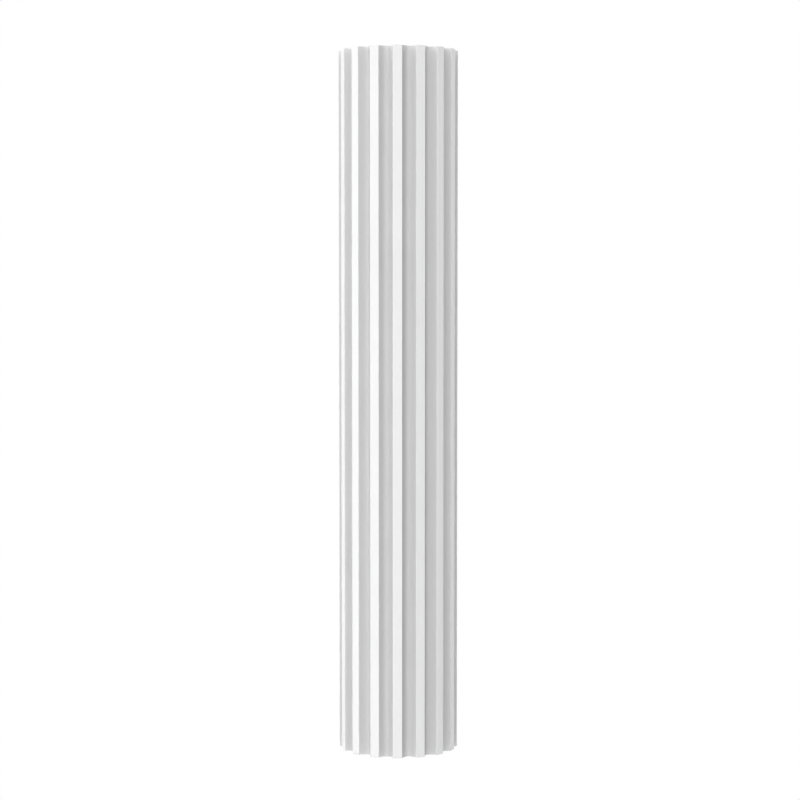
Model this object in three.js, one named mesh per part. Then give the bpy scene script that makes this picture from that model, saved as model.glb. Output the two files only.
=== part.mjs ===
// A straight fluted column shaft: one white casting with flat ends.
// Millimetres, +Z up. The origin is the centre of the underside.
import * as THREE from 'three';

// Driving dimensions
const shaftHeight = 2400;
const shaftDiameter = 409; // round the corners of the lands
const fluteCount = 16;
const landWidth = 31.4; // the flat strip between two flutes
const fluteDepth = 21; // below the line that joins a flute's two edges
const rimChamfer = 2; // the softened edge round each end

// Facets across the hollow of one flute
const fluteFacets = 14;

const shaftRadius = shaftDiameter / 2;
const pitchAngle = (2 * Math.PI) / fluteCount;
const landHalfAngle = Math.asin(landWidth / 2 / shaftRadius);
const fluteHalfAngle = pitchAngle / 2 - landHalfAngle;

// The hollow of one flute is a parabola through its two edges, drawn here about +X:
// x is the distance out from the shaft's axis, and y the distance to the side.
function fluteHollow() {
  const edgeOut = shaftRadius * Math.cos(fluteHalfAngle);
  const edgeAside = shaftRadius * Math.sin(fluteHalfAngle);
  const hollow = [];
  for (let step = 0; step <= fluteFacets; step += 1) {
    const aside = (2 * step) / fluteFacets - 1; // -1 at one edge, 0 in the middle and 1 at the other edge
    hollow.push(new THREE.Vector2(edgeOut - fluteDepth * (1 - aside ** 2), edgeAside * aside));
  }
  return hollow;
}

// The whole section. The lands are the straight lines from one flute to the next, and four of them
// are centred on the X and Y axes.
function shaftSection() {
  const axis = new THREE.Vector2(0, 0);
  const hollow = fluteHollow();
  const outline = [];
  for (let flute = 0; flute < fluteCount; flute += 1) {
    const middle = pitchAngle * (flute + 0.5);
    outline.push(...hollow.map((point) => point.clone().rotateAround(axis, middle)));
  }
  return new THREE.Shape(outline);
}

// The section drawn out to the full height, with the rim chamfered inside the outline at both ends.
function flutedShaft() {
  const geometry = new THREE.ExtrudeGeometry(shaftSection(), {
    depth: shaftHeight - 2 * rimChamfer,
    bevelEnabled: true,
    bevelThickness: rimChamfer,
    bevelSize: rimChamfer,
    bevelOffset: -rimChamfer,
    bevelSegments: 1,
  });
  geometry.translate(0, 0, rimChamfer);
  const plaster = new THREE.MeshStandardMaterial({ color: 0xf0f0ee, roughness: 0.75, metalness: 0 });
  const shaft = new THREE.Mesh(geometry, plaster);
  shaft.name = 'fluted_shaft';
  return shaft;
}

const column = new THREE.Group();
column.add(flutedShaft());

export default column;
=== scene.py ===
from math import asin, cos, hypot, pi, radians, sin

import bpy
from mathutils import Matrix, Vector


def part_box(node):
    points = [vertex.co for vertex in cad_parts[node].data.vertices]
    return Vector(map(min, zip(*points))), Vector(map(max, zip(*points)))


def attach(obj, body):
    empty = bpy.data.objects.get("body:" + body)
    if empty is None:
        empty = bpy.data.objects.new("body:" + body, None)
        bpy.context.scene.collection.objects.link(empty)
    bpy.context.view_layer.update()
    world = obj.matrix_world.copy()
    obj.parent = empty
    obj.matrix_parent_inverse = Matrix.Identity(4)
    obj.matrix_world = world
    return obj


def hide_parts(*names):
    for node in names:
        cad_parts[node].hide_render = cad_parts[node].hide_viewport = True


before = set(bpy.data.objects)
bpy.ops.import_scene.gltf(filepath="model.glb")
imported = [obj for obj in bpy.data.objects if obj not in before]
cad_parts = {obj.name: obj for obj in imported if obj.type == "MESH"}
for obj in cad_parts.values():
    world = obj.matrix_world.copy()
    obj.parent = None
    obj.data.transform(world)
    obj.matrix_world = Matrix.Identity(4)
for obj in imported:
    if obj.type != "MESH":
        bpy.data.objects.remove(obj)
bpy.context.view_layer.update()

# A straight fluted column shaft of white cast plaster, in metres, standing on its underside.


def linearColour(hexValue):
    # sRGB hex to the linear values that the shaders take
    channels = [int(hexValue[i:i + 2], 16) / 255 for i in (0, 2, 4)]
    return [c / 12.92 if c <= 0.04045 else ((c + 0.055) / 1.055) ** 2.4 for c in channels] + [1.0]


def addNode(tree, kind, settings=None, links=None):
    # settings: property or socket to value; links: socket to the output that feeds it. Sockets go by
    # their identifiers, such as A_Color, because Math and Mix nodes have several under one name.
    node = tree.nodes.new(kind)
    sockets = {socket.identifier: socket for socket in node.inputs}
    for name, value in (settings or {}).items():
        if name in sockets:
            sockets[name].default_value = value
        else:
            setattr(node, name, value)
    for name, output in (links or {}).items():
        tree.links.new(output, sockets[name])
    return node


def emptyMaterial(name):
    material = bpy.data.materials.new(name)
    material.use_nodes = True
    material.node_tree.nodes.clear()
    return material


# Camera: a long lens a little above the middle of the shaft, looking slightly down
cameraSetup = {
    "turn": 0.7,          # degrees round from the front, so the front land sits just left of the middle
    "distance": 7.186,
    "height": 1.636,
    "aimHeight": 1.2047,
    "aimAside": 0.0061,   # the shaft stands a touch left of the picture's middle
    "lens": 93.8,         # millimetres, as the sensor's width is
    "sensorWidth": 36.0,
    "farthest": 200.0,    # to the edge of the floor
}


def placeCamera(setup):
    turn = radians(setup["turn"])
    place = Vector((sin(turn) * setup["distance"], -cos(turn) * setup["distance"], setup["height"]))
    aim = Vector((cos(turn) * setup["aimAside"], sin(turn) * setup["aimAside"], setup["aimHeight"]))
    cameraData = bpy.data.cameras.new("camera")
    cameraData.lens = setup["lens"]
    cameraData.sensor_width = setup["sensorWidth"]
    cameraData.clip_end = setup["farthest"]
    camera = bpy.data.objects.new("camera", cameraData)
    bpy.context.collection.objects.link(camera)
    camera.location = place
    camera.rotation_euler = (aim - place).to_track_quat("-Z", "Y").to_euler()
    bpy.context.scene.camera = camera


placeCamera(cameraSetup)
print("camera placed")


# The shaft, run to one section from end to end: a parabola for each hollow, a flat land between two
shaftSetup = {
    "fluteCount": 16,
    "landWidth": 0.0314,
    "fluteDepth": 0.021,      # below the line that joins a flute's two edges
    "hollowSteps": 24,        # faces across one hollow
    "mergeWithin": 0.00001,   # closes the joints between the copies
    "softening": 0.0016,      # rounding of the land edges and the end rims
    "softeningSteps": 3,
    "sharpAngle": 35,         # degrees, over which an edge counts as an arris
}


def applyModifier(piece, kind, settings):
    modifier = piece.modifiers.new(kind.lower(), kind)
    for name, value in settings.items():
        setattr(modifier, name, value)
    bpy.context.view_layer.objects.active = piece
    bpy.ops.object.modifier_apply(modifier=modifier.name)


def drawHollow(setup, apothem):
    # One flute's hollow about +X, as a curve of one piece from edge to edge. It is a parabola, because each
    # handle lies two thirds of the way to the point, twice the depth in, where the end tangents meet.
    radius = hypot(apothem, setup["landWidth"] / 2)
    halfAngle = pi / setup["fluteCount"] - asin(setup["landWidth"] / 2 / radius)
    edgeOut = radius * cos(halfAngle)
    edgeAside = radius * sin(halfAngle)
    bpy.ops.object.select_all(action="DESELECT")
    bpy.ops.curve.primitive_bezier_curve_add(location=(0, 0, 0))
    hollow = bpy.context.object
    hollow.data.resolution_u = setup["hollowSteps"]
    for point, side in zip(hollow.data.splines[0].bezier_points, (-1, 1)):
        point.handle_left_type = point.handle_right_type = "FREE"
        point.co = (edgeOut, side * edgeAside, 0)
        handle = (edgeOut - setup["fluteDepth"] * 4 / 3, side * edgeAside / 3, 0)
        point.handle_left = point.handle_right = handle
    bpy.ops.object.convert(target="MESH")
    return bpy.context.object


def makeShaft(setup):
    low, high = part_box("fluted_shaft")
    shaft = drawHollow(setup, (high[0] - low[0]) / 2)
    shaft.name = "shaft"

    # Turn the hollow half a pitch, so that it ends at the land on +X, and draw that land across
    pitch = 2 * pi / setup["fluteCount"]
    bpy.ops.object.mode_set(mode="EDIT")
    bpy.ops.mesh.select_all(action="SELECT")
    bpy.ops.transform.rotate(value=pitch / 2, orient_axis="Z", center_override=(0, 0, 0))
    bpy.ops.mesh.select_all(action="DESELECT")
    bpy.ops.object.mode_set(mode="OBJECT")
    landEdge = min(shaft.data.vertices, key=lambda vertex: abs(vertex.co.y))
    landEdge.select = True
    across = -2 * landEdge.co.y
    bpy.ops.object.mode_set(mode="EDIT")
    bpy.ops.mesh.extrude_vertices_move(TRANSFORM_OT_translate={"value": (0, across, 0)})

    # Copy the two round the axis, fill the section and draw it up to its height
    bpy.ops.mesh.select_all(action="SELECT")
    bpy.ops.mesh.spin(steps=setup["fluteCount"], dupli=True, angle=2 * pi, center=(0, 0, 0), axis=(0, 0, 1))
    bpy.ops.mesh.select_all(action="SELECT")
    bpy.ops.mesh.remove_doubles(threshold=setup["mergeWithin"])
    bpy.ops.mesh.edge_face_add()
    bpy.ops.transform.translate(value=(0, 0, low[2]))
    bpy.ops.mesh.extrude_region_move(TRANSFORM_OT_translate={"value": (0, 0, high[2] - low[2])})
    bpy.ops.mesh.select_all(action="SELECT")
    bpy.ops.mesh.normals_make_consistent(inside=False)
    bpy.ops.object.mode_set(mode="OBJECT")

    # Soften every arris, the two rims among them
    applyModifier(shaft, "BEVEL", {
        "width": setup["softening"], "segments": setup["softeningSteps"], "limit_method": "ANGLE",
        "angle_limit": radians(setup["sharpAngle"]), "use_clamp_overlap": False})
    bpy.ops.object.mode_set(mode="EDIT")
    bpy.ops.mesh.select_all(action="SELECT")
    bpy.ops.mesh.remove_doubles(threshold=setup["mergeWithin"])
    bpy.ops.mesh.normals_make_consistent(inside=False)
    bpy.ops.object.mode_set(mode="OBJECT")
    bpy.ops.object.shade_smooth_by_angle(angle=radians(setup["sharpAngle"]))

    # Keep the lands and the end beds shading as true flats beside their soft edges
    applyModifier(shaft, "WEIGHTED_NORMAL", {"mode": "FACE_AREA", "weight": 100, "keep_sharp": True})
    return shaft


# Gypsum plaster cast in a smooth mould: a dense matt white with hardly any grain, pale clouds where it
# dried unevenly, hair lines up the height from the mould's own run, and a few air pinholes
plasterSetup = {
    "cloudSize": 0.14,
    "cloudColours": ("E9E9E9", "EDEDED"),
    "cloudRoughness": (0.7, 0.8),
    "hairSpacing": 0.006,
    "hairStretch": 0.02,         # draws a hair line out to about 0.3 m
    "grainSize": 0.003,          # real plaster grain is under 0.1 mm, drawn coarser so that it shows
    "reliefStrength": 0.1,       # of the hair lines and the grain
    "reliefHeight": 0.0002,
    "pinholeSpacing": 0.016,     # few of these show, because most lie inside the plaster
    "pinholeReach": 0.04,        # radius as a share of the spacing, so they are up to 1.3 mm across
    "pinholeStrength": 0.6,
    "pinholeDepth": 0.0006,
    "ior": 1.52,
}


def castPlaster(setup):
    material = emptyMaterial("cast gypsum plaster")
    tree = material.node_tree
    place = addNode(tree, "ShaderNodeTexCoord").outputs["Object"]

    clouds = addNode(tree, "ShaderNodeTexNoise", {"Scale": 1 / setup["cloudSize"], "Detail": 3.0},
                     {"Vector": place}).outputs["Fac"]
    darker, lighter = [linearColour(hexValue) for hexValue in setup["cloudColours"]]
    colour = addNode(tree, "ShaderNodeMix", {"data_type": "RGBA", "A_Color": darker, "B_Color": lighter},
                     {"Factor_Float": clouds})
    smoothest, roughest = setup["cloudRoughness"]
    roughness = addNode(tree, "ShaderNodeMapRange", {"To Min": smoothest, "To Max": roughest},
                        {"Value": clouds})

    stretched = addNode(tree, "ShaderNodeMapping", {"Scale": (1, 1, setup["hairStretch"])},
                        {"Vector": place})
    hairLines = addNode(tree, "ShaderNodeTexNoise", {"Scale": 1 / setup["hairSpacing"], "Detail": 1.0},
                        {"Vector": stretched.outputs["Vector"]})
    relief = {"Strength": setup["reliefStrength"], "Distance": setup["reliefHeight"]}
    lined = addNode(tree, "ShaderNodeBump", relief, {"Height": hairLines.outputs["Fac"]})

    grain = addNode(tree, "ShaderNodeTexNoise", {"Scale": 1 / setup["grainSize"], "Detail": 2.0},
                    {"Vector": place})
    grained = addNode(tree, "ShaderNodeBump", relief,
                      {"Height": grain.outputs["Fac"], "Normal": lined.outputs["Normal"]})

    pinholes = addNode(tree, "ShaderNodeTexVoronoi", {"Scale": 1 / setup["pinholeSpacing"]},
                       {"Vector": place})
    pits = addNode(tree, "ShaderNodeMapRange", {"From Max": setup["pinholeReach"]},
                   {"Value": pinholes.outputs["Distance"]})
    pitted = addNode(tree, "ShaderNodeBump",
                     {"Strength": setup["pinholeStrength"], "Distance": setup["pinholeDepth"]},
                     {"Height": pits.outputs["Result"], "Normal": grained.outputs["Normal"]})

    shader = addNode(tree, "ShaderNodeBsdfPrincipled", {"IOR": setup["ior"]},
                     {"Base Color": colour.outputs[2],    # a Mix node's third output is its colour
                      "Roughness": roughness.outputs["Result"], "Normal": pitted.outputs["Normal"]})
    addNode(tree, "ShaderNodeOutputMaterial", None, {"Surface": shader.outputs["BSDF"]})
    return material


shaft = makeShaft(shaftSetup)
shaft.data.materials.clear()
shaft.data.materials.append(castPlaster(plasterSetup))
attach(shaft, "root")
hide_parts("fluted_shaft")
print("shaft made:", len(shaft.data.polygons), "faces")


# The room: a tent of soft light over a floor, both plain white to the camera
lightSetup = {
    "floorSize": 400.0,
    "floorGlow": 0.74,       # what the floor throws back on the shaft
    "lobes": {               # the direction each comes from, its tightness and its strength
        "overhead": ((0, 0, 1), 4, 1.3),
        "left": ((-1, 0, 0), 3, 2.3),
        "front": ((0, -1, 0), 3, 1.8),
        "front window": ((0, -1, 0), 8, 0.55),
        "front left": ((-1, -1, 0), 3, 0.36),
        "front right": ((1, -1, 0), 3, 0.5),
        "back right": ((1, 1, 0), 3, 1.5),
        "back": ((0, 1, 0), 3, 1.25),
    },
    "backdropWhite": 1.0,    # what the camera sees of the tent and the floor
    "toneGamma": 0.65,       # deepens the greys under the whites, as the photograph does
}


def makeFloor(setup):
    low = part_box("fluted_shaft")[0]
    bpy.ops.mesh.primitive_plane_add(size=setup["floorSize"], location=(0, 0, low[2]))
    floor = bpy.context.object
    floor.name = "floor"
    material = emptyMaterial("lit white floor")
    tree = material.node_tree
    path = addNode(tree, "ShaderNodeLightPath")
    seen = addNode(tree, "ShaderNodeMapRange",
                   {"To Min": setup["floorGlow"], "To Max": setup["backdropWhite"]},
                   {"Value": path.outputs["Is Camera Ray"]})
    glow = addNode(tree, "ShaderNodeEmission", None, {"Strength": seen.outputs["Result"]})
    addNode(tree, "ShaderNodeOutputMaterial", None, {"Surface": glow.outputs["Emission"]})
    floor.data.materials.append(material)


def makeTent(setup):
    world = bpy.data.worlds.new("light tent")
    bpy.context.scene.world = world
    world.use_nodes = True
    tree = world.node_tree
    tree.nodes.clear()
    outward = addNode(tree, "ShaderNodeTexCoord").outputs["Generated"]

    # Each lobe fades with the angle off its direction, as a power of the cosine, and they all add up
    total = None
    for direction, tightness, strength in setup["lobes"].values():
        facing = addNode(tree, "ShaderNodeVectorMath",
                         {"operation": "DOT_PRODUCT", "Vector_001": Vector(direction).normalized()},
                         {"Vector": outward})
        amount = facing.outputs["Value"]
        for operation, value in (("MAXIMUM", 0.0), ("POWER", tightness), ("MULTIPLY", strength)):
            step = addNode(tree, "ShaderNodeMath", {"operation": operation, "Value_001": value},
                           {"Value": amount})
            amount = step.outputs["Value"]
        if total is None:
            total = amount
        else:
            both = addNode(tree, "ShaderNodeMath", {"operation": "ADD"},
                           {"Value": total, "Value_001": amount})
            total = both.outputs["Value"]

    path = addNode(tree, "ShaderNodeLightPath")
    seen = addNode(tree, "ShaderNodeMapRange", {"To Max": setup["backdropWhite"]},
                   {"Value": path.outputs["Is Camera Ray"], "To Min": total})
    light = addNode(tree, "ShaderNodeBackground", {"Color": (1, 1, 1, 1)},
                    {"Strength": seen.outputs["Result"]})
    addNode(tree, "ShaderNodeOutputWorld", None, {"Surface": light.outputs["Background"]})


def setTone(setup):
    scene = bpy.context.scene
    scene.view_settings.view_transform = "Standard"
    scene.view_settings.gamma = setup["toneGamma"]
    scene.cycles.diffuse_bounces = 0    # no fill passes between a flute's walls, as in the photograph


makeFloor(lightSetup)
makeTent(lightSetup)
setTone(lightSetup)
print("light set")
